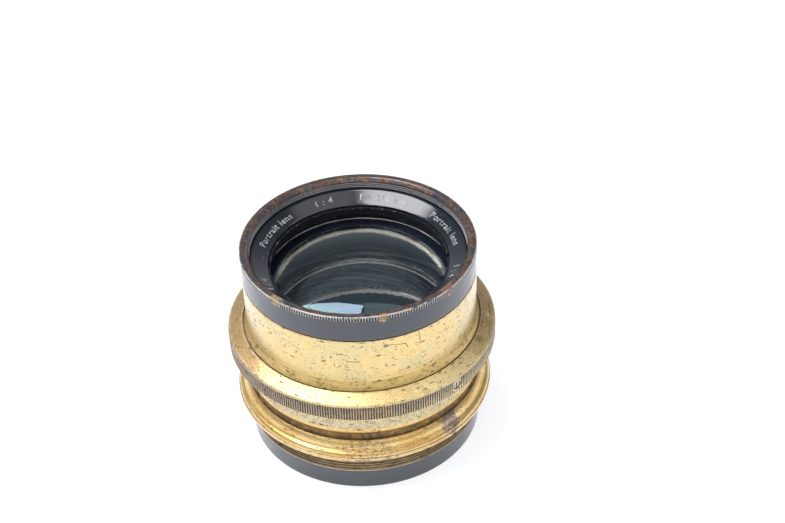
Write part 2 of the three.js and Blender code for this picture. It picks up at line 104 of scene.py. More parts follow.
def arc(start, end, bulge):
    """Points from start to end along an arc that stands off its chord by bulge times its length."""
    a = np.array(start, float)
    b = np.array(end, float)
    side = np.array([b[1] - a[1], a[0] - b[0]])
    shares = (i / ARC_STEPS for i in range(ARC_STEPS + 1))
    return [tuple(a + (b - a) * t + side * bulge * 4 * t * (1 - t)) for t in shares]


GENTLE_BEND = 0.35  # sine of the sharpest bend that is left as it is


def soften(corners, bevel=0.15, fade=0.9):
    """The outline with each corner rounded off, and its wear spread over the metal beside it.

    A corner is a radius, a height and, if it isn't the usual, the size of its own bevel.
    """
    flat = [np.array(c[:2], float) for c in corners]
    count = len(flat)
    area = sum(a[0] * b[1] - b[0] * a[1] for a, b in zip(flat, flat[1:] + flat[:1]))
    if area < 0:
        corners = corners[::-1]
        flat = flat[::-1]
    points = []
    for i in range(count):
        here = flat[i]
        before = flat[i - 1] - here
        after = flat[(i + 1) % count] - here
        size = corners[i][2] if len(corners[i]) > 2 else bevel
        turn = before[1] * after[0] - before[0] * after[1]
        lengths = np.linalg.norm(before), np.linalg.norm(after)
        sine = turn / (lengths[0] * lengths[1])
        if abs(sine) < GENTLE_BEND or here[0] == 0:
            points.append(Point(*here))
            continue
        wear = 1.0 if sine > 0 else -1.0
        reach = min(size, 0.4 * min(lengths))
        near, far = [], []
        for side, length in zip((before, after), lengths):
            near.append(here + side / length * reach)
            far.append(here + side / length * min(fade, 0.48 * length))
        rounded = 0.25 * near[0] + 0.5 * here + 0.25 * near[1]
        points.append(Point(*far[0]))
        points += [Point(*spot, wear=wear) for spot in (near[0], rounded, near[1])]
        points.append(Point(*far[1]))
    return points


def set_wear_and_shade(points, radii, heights, wear):
    """Sets the wear value, which stands for wear and grime and in some hollows for painted shade, of the
    outline's points that lie between two radii and two heights.
    """
    for p in points:
        if radii[0] <= p.r <= radii[1] and heights[0] <= p.z <= heights[1]:
            p.wear = wear


def cut_wall(points, radius, low, high, tooth=0.0, thread=0.0, pitch=1.0):
    """The outline with its upright wall of that radius knurled or threaded between two heights."""
    on = [i for i, p in enumerate(points) if abs(p.r - radius) < 1e-6]
    wall = sorted(points[on[0]:on[-1] + 1], key=lambda p: p.z)
    upward = points[on[-1]].z > points[on[0]].z
    heights = [p.z for p in wall]
    wears = [p.wear for p in wall]
    steps = round(PITCH_STEPS * (high - low) / pitch) if thread else 1
    levels = [low + (high - low) * k / steps for k in range(steps + 1)]
    cut = [Point(radius, z, tooth=tooth, thread=thread) for z in levels]
    ends = [Point(radius, z, float(np.interp(z, heights, wears))) for z in (low, high)]
    made = [p for p in wall if p.z < low - 1e-6]
    made += [ends[0], *cut, ends[1]]
    made += [p for p in wall if p.z > high + 1e-6]
    return points[:on[0]] + (made if upward else made[::-1]) + points[on[-1] + 1:]


def turned_mesh(name, points, segments, teeth=0, pitch=1.0, closed=True):
    """A mesh made by turning the outline about the axis, with its knurl and thread cut in.

    Its "wear" is that of the outline, low at the roots of teeth for grime and painted shade, and
    its "cut" is 1 where it is knurled or threaded.
    """
    vertices = []
    wear = []
    cut = []
    rings = []
    for p in points:
        count = 1 if p.r == 0 else (teeth * FINE if p.tooth else segments)
        angle = 2 * np.pi * np.arange(count) / count
        depth = np.zeros(count)
        if p.tooth:
            depth = (np.arange(count) % FINE >= FINE // 2) * 1.0
        if p.thread:
            phase = (p.z / pitch - angle / (2 * np.pi)) % 1
            depth = 1 - abs(2 * phase - 1)
        radius = p.r - depth * (p.tooth + p.thread)
        ring = np.stack([radius * np.cos(angle), radius * np.sin(angle), np.full(count, p.z)], 1)
        rings.append(range(len(vertices), len(vertices) + count))
        vertices += (ring * MM).tolist()
        is_cut = bool(p.tooth or p.thread)
        wear += (CREST_WEAR - (1 + CREST_WEAR) * depth).tolist() if is_cut else [p.wear] * count
        cut += [float(is_cut)] * count
    faces = []
    for i in range(len(rings) if closed else len(rings) - 1):
        faces += bridge(rings[i], rings[(i + 1) % len(rings)])
    mesh = new_mesh(name, vertices, faces)
    for key, values in (("wear", wear), ("cut", cut)):
        mesh.attributes.new(key, "FLOAT", "POINT").data.foreach_set("value", values)
    return mesh


def bridge(low, high):
    """The faces between two rings of vertices, of which either may be finer or a single point."""
    count = min(len(low), len(high))
    if len(low) == len(high) == 1:
        return []
    if count == 1:
        ring, tip, turn = (low, high[0], 1) if len(high) == 1 else (high, low[0], -1)
        return [(ring[j], ring[(j + 1) % len(ring)], tip)[::turn] for j in range(len(ring))]
    return [tuple(span_of(low, j, count) + span_of(high, j, count)[::-1]) for j in range(count)]


def span_of(ring, j, count):
    step = len(ring) // count
    return [ring[(j * step + k) % len(ring)] for k in range(step + 1)]


def rod(radius, start, end, angle, height):
    """A rod lying along a radius at an angle and a height, between two distances from the axis."""
    points = [Point(0, start), Point(radius, start), Point(radius, end), Point(0, end)]
    mesh = turned_mesh("rod", points, ROD_SEGMENTS, closed=False)
    mesh.transform(along_radius(angle, height))
    return mesh


def along_radius(angle, height):
    """The matrix that lays the axis along a radius of the lens."""
    turn = Matrix.Rotation(math.radians(angle), 4, "Z") @ Matrix.Rotation(math.pi / 2, 4, "Y")
    return Matrix.Translation((0, 0, height * MM)) @ turn


def brick(low, high):
    """A block between two corners, in millimetres."""
    corners = [(x * MM, y * MM, z * MM) for z in (low[2], high[2]) for y in (low[1], high[1])
               for x in (low[0], high[0])]
    faces = [(0, 2, 3, 1), (4, 5, 7, 6), (0, 1, 5, 4), (2, 6, 7, 3), (0, 4, 6, 2), (1, 3, 7, 5)]
    return new_mesh("brick", corners, faces)


def placed(name, data):
    """A new object in the scene."""
    made = bpy.data.objects.new(name, data)
    bpy.context.scene.collection.objects.link(made)
    return made


def evaluated_mesh(thing):
    """The mesh that an object comes to, in place of the object."""
    graph = bpy.context.evaluated_depsgraph_get()
    mesh = bpy.data.meshes.new_from_object(thing.evaluated_get(graph))
    bpy.data.objects.remove(thing)
    return mesh


def carved(mesh, cutter):
    """The mesh with another mesh taken out of it."""
    body = placed("body", mesh)
    tool = placed("cutter", cutter)
    modifier = body.modifiers.new("carve", "BOOLEAN")
    modifier.operation = "DIFFERENCE"
    modifier.solver = "EXACT"
    modifier.object = tool
    result = evaluated_mesh(body)
    bpy.data.objects.remove(tool)
    return result


SHARP_EDGE = 38  # degrees between two faces, above which their edge isn't shaded over


def piece(name, mesh, material, nodes, body="barrel"):
    """A shaded object that moves with a body and stands for CAD nodes, if it has any."""
    mesh.polygons.foreach_set("use_smooth", [True] * len(mesh.polygons))
    mesh.set_sharp_from_angle(angle=math.radians(SHARP_EDGE))
    mesh.materials.append(material)
    made = placed(name, mesh)
    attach(made, body)
    if nodes:
        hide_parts(*nodes)
    return made


# ---- Camera, light and floor ----

CAMERA_ELEVATION = 43.258
CAMERA_DISTANCE = 13.793  # in radii of the front rim, from the middle of the foot
CAMERA_AIM = (0.31, 1.303)  # right of and above the foot in the view, in the same radii
CAMERA_ROLL = -2.043
FOCAL_MM = 68.79
SENSOR_MM = 36.0


def make_camera():
    radius = LIP_R * MM
    elevation = math.radians(CAMERA_ELEVATION)
    back = Vector((0, -math.cos(elevation), math.sin(elevation)))
    right = Vector((1, 0, 0))
    place = back * CAMERA_DISTANCE * radius
    aim = (right * CAMERA_AIM[0] + back.cross(right) * CAMERA_AIM[1]) * radius
    axis = (place - aim).normalized()
    level = Vector((0, 0, 1)).cross(axis).normalized()
    turn = Matrix.Rotation(math.radians(CAMERA_ROLL), 3, axis)
    across = turn @ level
    upward = axis.cross(across)
    data = bpy.data.cameras.new("camera")
    data.lens = FOCAL_MM
    data.sensor_width = SENSOR_MM
    data.clip_start = 0.01
    camera = placed("camera", data)
    rotation = Matrix((across, upward, axis)).transposed().to_4x4()
    camera.matrix_world = Matrix.Translation(place) @ rotation
    bpy.context.scene.camera = camera


DAYLIGHT = (0.92, 0.96, 1.0, 1)
WALL_LIGHT = 0.95
CEILING_LIGHT = 0.22
CEILING_EDGE = 0.65  # sine of the elevation at which the walls have faded into the ceiling


def make_world():
    """A pale studio whose walls are brighter than its ceiling."""
    world = bpy.data.worlds.new("studio")
    world.use_nodes = True
    tree = world.node_tree
    background = tree.nodes["Background"]
    background.inputs["Color"].default_value = DAYLIGHT
    direction = tree.nodes.new("ShaderNodeTexCoord").outputs["Generated"]
    apart = tree.nodes.new("ShaderNodeSeparateXYZ")
    fade = tree.nodes.new("ShaderNodeMapRange")
    fade.inputs["From Max"].default_value = CEILING_EDGE
    fade.inputs["To Min"].default_value = WALL_LIGHT
    fade.inputs["To Max"].default_value = CEILING_LIGHT
    tree.links.new(direction, apart.inputs[0])
    tree.links.new(apart.outputs[2], fade.inputs["Value"])
    tree.links.new(fade.outputs["Result"], background.inputs["Strength"])
    bpy.context.scene.world = world


# Name, centre, size, turn in degrees, radiance and colour
LAMPS = (
    ("softbox", (-0.37, 0.03, 1.0), (0.6, 0.66), -18, 9.6, (0.97, 0.98, 1.0)),
    ("fill", (0.42, -0.12, 1.0), (0.8, 0.8), 0, 1.0, (1.0, 0.99, 0.96)),
    ("front", (0.05, -0.87, 0.9), (1.7, 0.68), 0, 0.95, (1.0, 0.99, 0.97)),
)


def make_lights():
    """Rectangular lamps that face straight down, as bright as their radiance when seen directly."""
    bpy.context.scene.view_settings.view_transform = "Standard"
    for name, centre, size, turn, radiance, colour in LAMPS:
        data = bpy.data.lights.new(name, "AREA")
        data.shape = "RECTANGLE"
        data.size, data.size_y = size
        data.energy = radiance * math.pi * size[0] * size[1]
        data.color = colour
        turned = Matrix.Rotation(math.radians(turn), 4, "Z")
        placed(name, data).matrix_world = Matrix.Translation(centre) @ turned


FLOOR_REACH = 3.0  # metres from the lens
FLOOR_COLOUR = (0.36, 0.37, 0.39, 1)
FLOOR_GLOW = ((0.98, 0.99, 1.0, 1), 0.78)  # colour and strength, for a floor as pale as paper


def make_floor():
    corners = [(x * FLOOR_REACH, y * FLOOR_REACH, 0) for x, y in ((-1, -1), (1, -1), (1, 1), (-1, 1))]
    mesh = new_mesh("floor", corners, [(0, 1, 2, 3)])
    material = bpy.data.materials.new("floor")
    material.use_nodes = True
    shader = material.node_tree.nodes["Principled BSDF"]
    shader.inputs["Base Color"].default_value = FLOOR_COLOUR
    shader.inputs["Roughness"].default_value = 0.8
    shader.inputs["Emission Color"].default_value = FLOOR_GLOW[0]
    shader.inputs["Emission Strength"].default_value = FLOOR_GLOW[1]
    mesh.materials.append(material)
    placed("floor", mesh)


# ---- Finishes ----


class Finish:
    """A material being built, with short names for the nodes that the finishes share."""

    def __init__(self, name):
        self.material = bpy.data.materials.new(name)
        self.material.use_nodes = True
        self.tree = self.material.node_tree
        self.shader = self.tree.nodes["Principled BSDF"]
        place = self.node("TexCoord").outputs["Object"]
        self.place = self.vector("SCALE", place, scale=1 / MM)  # millimetres in the frame
        self.x, self.y, self.z = self.node("SeparateXYZ", self.place).outputs
        squares = self.muladd(self.x, self.x, self.math("MULTIPLY", self.y, self.y))
        self.radius = self.math("SQRT", squares)
        self.wear = self.node("Attribute", attribute_name="wear").outputs["Fac"]
        self.cut = self.node("Attribute", attribute_name="cut").outputs["Fac"]

    def node(self, kind, *sources, **settings):
        """A new node with its settings, and its first inputs fed in order."""
        node = self.tree.nodes.new("ShaderNode" + kind)
        for key, value in settings.items():
            setattr(node, key, value)
        for source, socket in zip(sources, node.inputs):
            self.link(source, socket)
        return node

    def link(self, source, socket):
        """Feeds a socket from another node's output, or sets it to a value."""
        if isinstance(source, bpy.types.NodeSocket):
            self.tree.links.new(source, socket)
        elif source is not None:
            socket.default_value = source

    def math(self, operation, a, b=None, c=None, clamp=False):
        return self.node("Math", a, b, c, operation=operation, use_clamp=clamp).outputs[0]

    def muladd(self, a, b, c):
        """The sum of a times b and c."""
        return self.math("MULTIPLY_ADD", a, b, c)

    def vector(self, operation, a, b=None, scale=None):
        node = self.node("VectorMath", a, b, None, scale, operation=operation)
        plain = operation in ("DISTANCE", "DOT_PRODUCT")
        return node.outputs["Value" if plain else "Vector"]

    def ramp(self, value, low, high, out_low=0.0, out_high=1.0):
        """Value taken smoothly from low..high to out_low..out_high, and held there outside."""
        node = self.node("MapRange", value, low, high, out_low, out_high,
                         interpolation_type="SMOOTHSTEP")
        return node.outputs["Result"]

    def stretched(self, along=1.0, shift=0.0):
        """Coordinates in millimetres, along times longer across the turning marks."""
        across = self.math("MULTIPLY", self.math("SUBTRACT", self.z, self.radius), along)
        return self.node("CombineXYZ", self.math("ADD", self.x, shift), self.y, across).outputs[0]

    def noise(self, scale, detail=4.0, roughness=0.6, along=1.0, shift=0.0):
        """Soft noise from about 0.25 to 0.75, with scale features to the millimetre."""
        place = self.stretched(along, shift)
        return self.node("TexNoise", place, None, scale, detail, roughness).outputs["Fac"]

    def specks(self, scale, size, share, along=1.0, shift=0.0):
        """Spots of one size in a share of the cells, scale cells to the millimetre."""
        warp = self.noise(scale * 2.2, 2.0, 0.6, along, shift + 31)
        place = self.vector("ADD", self.stretched(along, shift), self.spread(warp, 0.9 / scale))
        cells = self.node("TexVoronoi", place, None, scale).outputs
        chosen = self.node("SeparateXYZ", cells["Color"]).outputs[0]
        grown = self.math("MULTIPLY", self.ramp(chosen, 1 - share, 1.0), size)
        return self.ramp(self.math("SUBTRACT", grown, cells["Distance"]), -0.03, 0.06)

    def spread(self, value, amount):
        """Noise as a vector of up to about half the amount, for moving coordinates."""
        moved = self.math("MULTIPLY", self.math("SUBTRACT", value, 0.5), amount)
        return self.node("CombineXYZ", moved, moved, moved).outputs[0]

    def blend(self, factor, a, b):
        """Colour a where factor is 0 and b where it is 1."""
        node = self.node("Mix", data_type="RGBA")
        self.link(factor, node.inputs["Factor"])
        for colour, socket in ((a, node.inputs["A"]), (b, node.inputs["B"])):
            plain = isinstance(colour, tuple)
            self.link((*colour, 1.0) if plain else colour, socket)
        return node.outputs["Result"]

    def between(self, factor, a, b):
        """Number a where factor is 0 and b where it is 1."""
        plain = isinstance(a, float) and isinstance(b, float)
        return self.muladd(factor, b - a if plain else self.math("SUBTRACT", b, a), a)

    def either(self, *masks):
        return functools.reduce(lambda a, b: self.math("MAXIMUM", a, b), masks)

    def both(self, *masks):
        return functools.reduce(lambda a, b: self.math("MULTIPLY", a, b), masks)

    def patch(self, angle, height, r, reach, cover):
        """A ragged patch that reaches so far round one place and covers about that share of it."""
        distance = self.vector("DISTANCE", self.place, at(angle, height, r))
        near = self.ramp(self.wavy(distance, reach), reach * 1.05, reach * 0.85)
        left = 0.4 * cover
        spotted = self.ramp(self.noise(0.8, 4.0, 0.7, shift=angle), 0.5 - left, 0.72 - left)
        return self.both(near, spotted)

    def wavy(self, distance, size):
        """A distance made ragged on the scale of a mark of that size."""
        noise = self.noise(2.4 / size)
        return self.muladd(self.math("SUBTRACT", noise, 0.5), 2 * size, distance)

    def scratch(self, start, end, width):
        """A line between two places on the surface, each given as angle, height and radius."""
        a, b = Vector(at(*start)), Vector(at(*end))
        along = b - a
        from_start = self.vector("SUBTRACT", self.place, tuple(a))
        share = self.math("MULTIPLY", self.vector("DOT_PRODUCT", from_start, tuple(along)),
                          1 / along.length_squared, clamp=True)
        foot = self.vector("SCALE", tuple(along), scale=share)
        distance = self.vector("DISTANCE", from_start, foot)
        return self.ramp(self.wavy(distance, width), width * 1.2, width * 0.6)

    def bump(self, height, distance, strength, onto=None):
        """The surface's normal over bumps so many millimetres high, on top of other bumps."""
        node = self.node("Bump")
        for source, key in ((height, "Height"), (distance * MM, "Distance"), (strength, "Strength"),
                            (onto, "Normal")):
            self.link(source, node.inputs[key])
        return node.outputs["Normal"]

    def finish(self, colour, roughness, metallic, normal, **plain):
        self.link((*colour, 1.0) if isinstance(colour, tuple) else colour,
                  self.shader.inputs["Base Color"])
        self.link(roughness, self.shader.inputs["Roughness"])
        self.link(metallic, self.shader.inputs["Metallic"])
        self.link(normal, self.shader.inputs["Normal"])
        for key, value in plain.items():
            self.shader.inputs[key.replace("_", " ")].default_value = value
        return self.material


def at(angle, height, r):
    """The place at an angle round the axis, a height and a radius."""
    a = math.radians(angle)
    return r * math.cos(a), r * math.sin(a), height


PALE_BRASS = (0.72, 0.585, 0.285)
BARE_BRASS = (0.69, 0.58, 0.35)
PAINTED_LIGHT_GOLD = (0.80, 0.63, 0.31)
PAINTED_HIGHLIGHT_GOLD = (0.97, 0.80, 0.42)
BRASS = (0.84, 0.61, 0.26)
DEEP_BRASS = (0.76, 0.48, 0.15)
AMBER_SHADE = (0.58, 0.39, 0.10)
BRONZE = (0.52, 0.36, 0.17)
TAUPE = (0.33, 0.305, 0.285)
PLUM = (0.27, 0.20, 0.20)
BROWN = (0.22, 0.11, 0.035)
UMBER = (0.06, 0.036, 0.020)
RUST = (0.15, 0.070, 0.042)
COPPER = (0.27, 0.14, 0.09)
ROSE = (0.68, 0.54, 0.45)
OCHRE = (0.42, 0.30, 0.15)
BLACK = (0.018, 0.025, 0.040)
DARK_BLACK = (0.012, 0.011, 0.010)
SILVER = (0.50, 0.48, 0.47)
RUBBED = (0.62, 0.58, 0.50)
DULL_RUBBED = (0.34, 0.31, 0.27)
THREAD_BRASS = (0.33, 0.27, 0.16)
GLASS = (0.91, 0.935, 0.975)


def brass(name, base, deep, edge_hue, cut_hue, speck_share=0.3, grain=0.0, tarnish=0.25,
          rough=(0.30, 0.40), scratches=(), patches=(), bare_above=None, coat=0.5):
    """Lacquered brass with turning marks, scratches and tarnish specks where the lacquer has gone.

    Above the height bare_above it has no lacquer, and is pale and thick with specks.
    """
    f = Finish(name)
    turning = f.noise(0.5, 2.0, 0.6, along=26.0)
    cloud = f.noise(0.07, 3.0, 0.6, along=1.5)
    colour = f.blend(f.ramp(cloud, 0.38, 0.66), base, deep)
    dense = f.ramp(f.noise(0.16, 2.0, 0.5, shift=70), 0.36, 0.62)
    small = f.both(f.specks(1.1, 0.42, speck_share, along=2.2), dense)
    large = f.specks(0.42, 0.36, speck_share * 0.55, along=2.6, shift=17)
    pepper = f.both(f.specks(1.6, 0.45, 0.25 + grain * 0.6, along=2.6, shift=43),
                    f.ramp(f.noise(0.3, 3.0, 0.6, shift=9), 0.62 - 0.4 * grain, 0.8 - 0.4 * grain))
    if bare_above:
        bare = f.ramp(f.z, bare_above - 0.4, bare_above + 0.8)
        colour = f.blend(bare, colour, BARE_BRASS)
        pepper = f.either(pepper, f.both(bare, f.specks(2.1, 0.62, 0.95, along=2.6, shift=58), 0.75))
    lines = [f.scratch(*line) for line in scratches]
    marks = f.either(small, large, pepper, *lines)
    grimy = f.muladd(f.cut, 0.24, f.noise(0.5, shift=3))
    # Grime where the wear value is low; in the relief above the thread it is painted shade, and in the
    # cove partly painted shade
    dirt = f.ramp(f.muladd(f.wear, -0.5, grimy), 0.72, 0.98)
    # Below-zero wear (inner corners, roots, the cove) turns darker amber: painted shade and warm
    # reflected light from the brass round it
    colour = f.blend(f.both(f.ramp(f.wear, -0.05, -0.4), 0.8), colour, AMBER_SHADE)
    stained = f.ramp(f.noise(0.11, shift=23), 0.72 - 0.3 * tarnish, 0.9 - 0.3 * tarnish)
    colour = f.blend(f.both(stained, f.ramp(turning, 0.4, 0.7, 0.3, 0.7)), colour, (0.42, 0.26, 0.11))
    worn = f.muladd(f.wear, 0.45, f.noise(0.7, shift=51))
    edge = f.both(f.ramp(worn, 0.72, 0.9), f.ramp(f.cut, 1.0, 0.0))
    colour = f.blend(f.both(edge, f.ramp(turning, 0.3, 0.6, 0.5, 0.9)), colour, edge_hue)
    for *where, hue in patches:
        colour = f.blend(f.both(f.patch(*where), 0.9), colour, hue)
    colour = f.blend(f.both(f.cut, 0.9), colour, cut_hue)
    hue = f.blend(f.ramp(f.noise(0.4, 3.0, 0.55, shift=81), 0.45, 0.6), UMBER, BROWN)
    spoiled = f.either(marks, dirt)
    colour = f.blend(f.both(spoiled, 0.85), colour, hue)
    satin = f.ramp(f.noise(0.25, shift=5), 0.3, 0.7, *rough)
    metal = f.between(spoiled, 1.0, 0.25)
    normal = f.bump(turning, 0.015, 0.25)
    normal = f.bump(f.between(marks, 1.0, 0.0), 0.05, 0.6, onto=normal)
    f.link(f.between(spoiled, coat, 0.05), f.shader.inputs["Coat Weight"])
    return f.finish(colour, f.muladd(spoiled, 0.3, satin), metal, normal,
                    Coat_Roughness=0.2)


def lacquer(name, worn=0.5, rough=(0.26, 0.42), patches=(), coat=0.7, shade=1.0, bore=31.0):
    """Black lacquer over brass, rubbed through to brown metal along its edges, dull in the bores."""
    f = Finish(name)
    streaks = f.noise(0.6, 3.0, 0.6, along=18.0)
    cloud = f.noise(0.2, 4.0, 0.65)
    fine = f.noise(1.2, 5.0, 0.65, shift=11)
    outside = f.ramp(f.radius, bore, bore + 1.5)
    colour = f.blend(f.ramp(cloud, 0.35, 0.7), BLACK, (0.030, 0.037, 0.052))
    colour = f.blend(1.0 - shade, colour, (0.0, 0.0, 0.0))
    specks = f.specks(0.7, 0.25, 0.2, shift=5)
    colour = f.blend(f.both(specks, 0.4), colour, (0.16, 0.15, 0.15))
    mottle = f.muladd(fine, 0.5, f.math("MULTIPLY", cloud, 0.5))
    edge = f.muladd(f.wear, 0.32, mottle)
    through = f.ramp(edge, 0.80 - 0.12 * worn, 0.88 - 0.12 * worn)
    rubbed = f.both(through, f.ramp(f.cut, 1.0, 0.0), outside)
    metal_hue = f.blend(f.ramp(f.noise(0.5, shift=29), 0.4, 0.65), RUST, COPPER)
    metal_hue = f.blend(f.ramp(f.noise(0.9, 4.0, 0.7, shift=37), 0.42, 0.58), metal_hue, UMBER)
    metal_hue = f.blend(f.both(f.ramp(f.radius, 37.5, 37.8), f.ramp(f.z, 66.0, 67.0)), metal_hue, SILVER)
    colour = f.blend(rubbed, colour, metal_hue)
    outer_cut = f.ramp(f.radius, 36.3, 36.8)
    # Crests of the outer knurl are bare metal; on the inner thread the same mask paints wide pale grey
    # lines, not metal, as painted highlights
    bare_crest_and_highlight = f.both(f.cut, f.ramp(f.wear, f.between(outer_cut, -0.4, 0.0), CREST_WEAR),
                   f.ramp(fine, 0.3, 0.55, 0.45, 1.0))
    colour = f.blend(bare_crest_and_highlight, colour, SILVER)
    grime = f.both(f.ramp(f.wear, -0.2, -0.9), 0.8)
    colour = f.blend(grime, colour, DARK_BLACK)
    for *where, hue in patches:
        chipped = f.patch(*where)
        colour = f.blend(chipped, colour, hue)
        rubbed = f.either(rubbed, f.both(chipped, 0.6))
    colour = f.blend(outside, (0.005, 0.008, 0.014), colour)
    if coat:
        f.link(f.both(outside, coat), f.shader.inputs["Coat Weight"])
    satin = f.between(outside, 0.6, f.ramp(cloud, 0.3, 0.7, *rough))
    metal = f.either(f.both(rubbed, 0.7), f.both(bare_crest_and_highlight, outer_cut))
    normal = f.bump(streaks, 0.01, 0.25)
    normal = f.bump(f.between(rubbed, 1.0, 0.0), 0.04, 0.5, onto=normal)
    return f.finish(colour, f.muladd(rubbed, 0.15, satin), metal, normal, IOR=1.6,
                    Coat_Roughness=0.15)


def blackened(name, edge_hue=(0.10, 0.09, 0.08), edge_wear=0.0):
    """Matt black inner metalwork, with its edges rubbed bright in places."""
    f = Finish(name)
    turning = f.noise(0.8, 3.0, 0.6, along=20.0)
    cloud = f.noise(0.4)
    worn = f.muladd(f.wear, edge_wear, f.noise(1.0, shift=7))
    edge = f.ramp(worn, 0.76, 0.92)
    colour = f.blend(f.ramp(cloud, 0.35, 0.7), (0.008, 0.011, 0.015), (0.016, 0.018, 0.022))
    colour = f.blend(edge, colour, edge_hue)
    rough = f.ramp(cloud, 0.3, 0.7, 0.6, 0.8)
    return f.finish(colour, rough, f.both(edge, 0.3), f.bump(turning, 0.01, 0.2), IOR=1.2)


def steel(name, low, high, rough):
    """Brushed steel with a cloudy oxide."""
    f = Finish(name)
    brushed = f.noise(1.0, 3.0, 0.6, along=12.0)
    fine = f.noise(3.0, 3.0, 0.6)
    colour = f.blend(f.ramp(f.noise(0.3), 0.35, 0.7), low, high)
    colour = f.blend(f.specks(0.9, 0.3, 0.3, shift=19), colour, BROWN)
    satin = f.ramp(f.noise(0.9, shift=13), 0.3, 0.7, *rough)
    metal = f.ramp(fine, 0.1, 0.9, 0.75, 0.95)
    return f.finish(colour, satin, metal, f.bump(brushed, 0.01, 0.4))


def letter_fill():
    """Pale filling of the engraved letters, grey with dirt and lost in places."""
    f = Finish("letter_fill")
    dirt = f.ramp(f.noise(0.35, 4.0, 0.65), 0.38, 0.62)
    colour = f.blend(dirt, (0.42, 0.42, 0.40), (0.16, 0.165, 0.17))
    grain = f.bump(f.noise(3.0, 3.0, 0.55), 0.01, 0.4)
    return f.finish(colour, f.ramp(dirt, 0.0, 1.0, 0.5, 0.7), 0.0, grain)


def edge_paint():
    """Black paint on the edge of a glass, flaked to a pale crust where it is worn."""
    f = Finish("edge_paint")
    fine = f.noise(2.2, 5.0, 0.75, shift=13)
    slow = f.noise(0.16, 3.0, 0.6, shift=47)
    flaked = f.muladd(f.wear, 0.46, f.muladd(slow, 0.4, fine))
    crust = f.ramp(flaked, 0.89, 1.0)
    colour = f.blend(f.ramp(slow, 0.3, 0.7), (0.004, 0.007, 0.016), (0.009, 0.013, 0.026))
    dirty = f.ramp(f.noise(0.5, 3.0, 0.55, shift=3), 0.4, 0.6)
    hue = f.blend(dirty, (0.95, 0.93, 0.84), (0.66, 0.60, 0.42))
    colour = f.blend(crust, colour, hue)
    normal = f.bump(f.both(crust, fine), 0.02, 0.5)
    return f.finish(colour, f.between(crust, 0.7, 0.9), 0.0, normal, IOR=1.1)


def optical_glass(name, dull, shiny):
    """Glass whose reflections bloom from lavender to cyan, from the height dull to shiny."""
    f = Finish(name)
    dust = f.specks(0.5, 0.07, 0.25, shift=61)
    normal = f.bump(f.noise(0.05, 2.0, 0.5), 0.01, 0.01)
    drift = f.ramp(f.noise(0.06, 2.0, 0.5, shift=12), 0.4, 0.6)
    bloom = f.blend(drift, (0.44, 0.70, 1.0), (0.40, 0.86, 0.94))
    f.link(bloom, f.shader.inputs["Specular Tint"])
    f.link(f.ramp(f.z, dull, shiny, 0.03, 0.5), f.shader.inputs["Specular IOR Level"])
    f.link(f.ramp(f.z, dull, shiny, 0.0, 0.35), f.shader.inputs["Coat Weight"])
    return f.finish(GLASS, f.both(dust, 0.2), 0.0, normal, Transmission_Weight=1.0, IOR=1.57)


# ---- Glasses ----

# Each group, from its outer vertex inwards: radii of curvature, thicknesses along the axis, the
# radius of the glass's edge, and how far out its hollow or inner surfaces are polished.
FRONT_GROUP = {
    "node": "front", "inwards": -1, "outer": 75.0, "hollow": 62.0, "pair": 15.1, "air": 2.5,
    "meniscus": (70.0, 115.0, 4.2), "edge": 29.5, "clear": 26.0, "inner_edge": 26.0,
    "inner_clear": 24.8,
}
REAR_GROUP = {
    "node": "rear", "inwards": 1, "outer": 70.0, "hollow": 58.0, "pair": 13.7, "air": 2.2,
    "meniscus": (66.0, 108.0, 4.0), "edge": 27.5, "clear": 24.3, "inner_edge": 24.4,
    "inner_clear": 23.2,
}
GLASS_STEPS = 24


def sag(sphere, r):
    return sphere - math.sqrt(sphere * sphere - r * r)


def surface(vertex, sphere, clear, edge, inwards):
    """Points of a polished surface that curves towards the iris, from the axis to the glass's edge."""
    radii = (clear * i / GLASS_STEPS for i in range(GLASS_STEPS + 1))
    points = [Point(r, vertex + inwards * sag(sphere, r)) for r in radii]
    if edge > clear:
        points.append(Point(edge, points[-1].z))
    return points


def glass_heights(group):
    """The heights of a group's four polished surfaces on the axis, from the outside inwards."""
    low, high, _ = extent(group["node"] + "_crown_element")
    inwards = group["inwards"]
    outer = high if inwards < 0 else low
    hollow = outer + inwards * group["pair"]
    meniscus = hollow + inwards * group["air"]
    return outer, hollow, meniscus, meniscus + inwards * group["meniscus"][2]


def glass_mesh(name, outside, inside, inwards):
    points = outside + inside[::-1]
    return turned_mesh(name, points[::-1] if inwards < 0 else points, INNER_SEGMENTS, closed=False)


def glasses(group, outer_glass, inner_glass, paint):
    """A group's cemented pair and its meniscus, each as one body of glass, and their painted edges."""
    node = group["node"]
    inwards = group["inwards"]
    outer, hollow, meniscus, inner = glass_heights(group)
    edge, clear = group["edge"], group["clear"]
    inner_edge, inner_clear = group["inner_edge"], group["inner_clear"]
    outside = surface(outer, group["outer"], edge, edge, inwards)
    inside = surface(hollow, group["hollow"], clear, edge, inwards)
    pair = glass_mesh(node + "_pair", outside, inside, inwards)
    outside = surface(meniscus, group["meniscus"][0], inner_clear, inner_edge, inwards)
    inside = surface(inner, group["meniscus"][1], inner_clear, inner_edge, inwards)
    single = glass_mesh(node + "_meniscus", outside, inside, inwards)
    made = [
        piece(node + "_pair", pair, outer_glass, [node + "_crown_element", node + "_flint_element"]),
        piece(node + "_meniscus", single, inner_glass, [node + "_meniscus_element"]),
    ]
    for glass in made:
        glass.visible_shadow = False  # daylight reaches the barrel's inside through the glass
    rim = outer + inwards * sag(group["outer"], edge)
    painted_edge(node + "_edge_paint", edge, clear, pair_seat(group), rim, paint, CRUST)
    rim = inner + inwards * sag(group["meniscus"][1], inner_clear)
    seat = meniscus_seat(group)
    painted_edge(node + "_inner_edge_paint", inner_edge, inner_clear, seat, rim, paint)


PAINT = 0.08  # thickness, just inside the glass's edge
CRUST = 4.6  # from the ground seat to the middle of the flaked band
CRUST_WIDTH = 2.4


